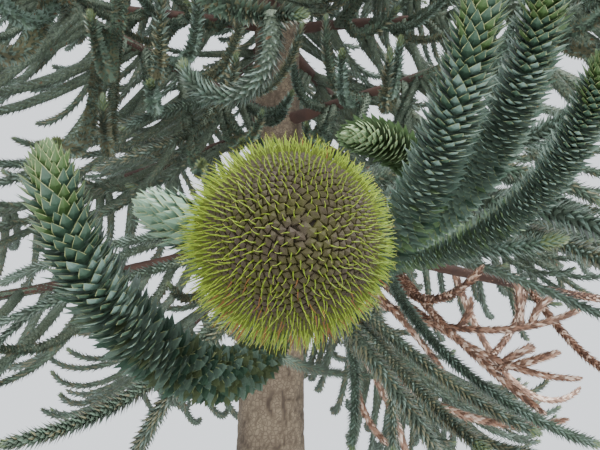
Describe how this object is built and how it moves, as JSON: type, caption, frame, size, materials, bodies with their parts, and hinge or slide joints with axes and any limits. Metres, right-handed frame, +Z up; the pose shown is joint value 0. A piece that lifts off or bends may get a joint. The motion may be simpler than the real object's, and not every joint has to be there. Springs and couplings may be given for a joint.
{
  "type": "monkey puzzle tree",
  "caption": "Tall evergreen tree with a straight bare trunk, level whorls of rope-like boughs clad in stiff overlapping leaves, and a round spiny seed cone on the lowest front bough.",
  "frame": {"origin": "middle of the trunk's flat cut at ground level", "axes": "+Z up along the trunk; -Y towards the viewer of the picture, where the bough with the seed cone points; +X to the viewer's right"},
  "size_m": [6.9359, 6.8678, 11],
  "materials": {
    "bark": "rough grey-brown bark with fine cracks up and down and across",
    "bough_bark": "rough reddish brown bark with old leaf scars",
    "foliage": "stiff dark blue-green leaves with a dull waxy gloss, yellow-green at the tips of the shoots",
    "dead_foliage": "dry dull pinkish brown leaves",
    "seed_cone": "dull dark scales with yellow-green bent spines"
  },
  "bodies": {
    "root": {"trunk": "bark", "seed_cone": "seed_cone", "bough_1_1": "bough_bark", "foliage_1_1": "foliage", "bough_1_2": "bough_bark", "foliage_1_2": "dead_foliage", "bough_1_3": "bough_bark", "foliage_1_3": "foliage", "bough_1_4": "bough_bark", "foliage_1_4": "foliage", "bough_1_5": "bough_bark", "foliage_1_5": "foliage", "bough_2_1": "bough_bark", "foliage_2_1": "foliage", "bough_2_2": "bough_bark", "foliage_2_2": "foliage", "bough_2_3": "bough_bark", "foliage_2_3": "foliage", "bough_2_4": "bough_bark", "foliage_2_4": "foliage", "bough_2_5": "bough_bark", "foliage_2_5": "foliage", "bough_3_1": "bough_bark", "foliage_3_1": "foliage", "bough_3_2": "bough_bark", "foliage_3_2": "foliage", "bough_3_3": "bough_bark", "foliage_3_3": "foliage", "bough_3_4": "bough_bark", "foliage_3_4": "foliage", "bough_3_5": "bough_bark", "foliage_3_5": "foliage", "foliage_4_1": "foliage", "foliage_4_2": "foliage", "foliage_4_3": "foliage", "foliage_4_4": "foliage", "foliage_4_5": "foliage", "foliage_5_1": "foliage", "foliage_5_2": "foliage", "foliage_5_3": "foliage", "foliage_5_4": "foliage", "foliage_5_5": "foliage", "foliage_6_1": "foliage", "foliage_6_2": "foliage", "foliage_6_3": "foliage", "foliage_6_4": "foliage", "foliage_7_1": "foliage", "foliage_7_2": "foliage", "foliage_7_3": "foliage", "foliage_7_4": "foliage", "foliage_8_1": "foliage", "foliage_8_2": "foliage", "foliage_8_3": "foliage", "foliage_9_1": "foliage", "foliage_9_2": "foliage", "foliage_9_3": "foliage", "foliage_10_1": "foliage", "foliage_10_2": "foliage", "foliage_10_3": "foliage", "foliage_leader": "foliage"}
  },
  "joints": []
}
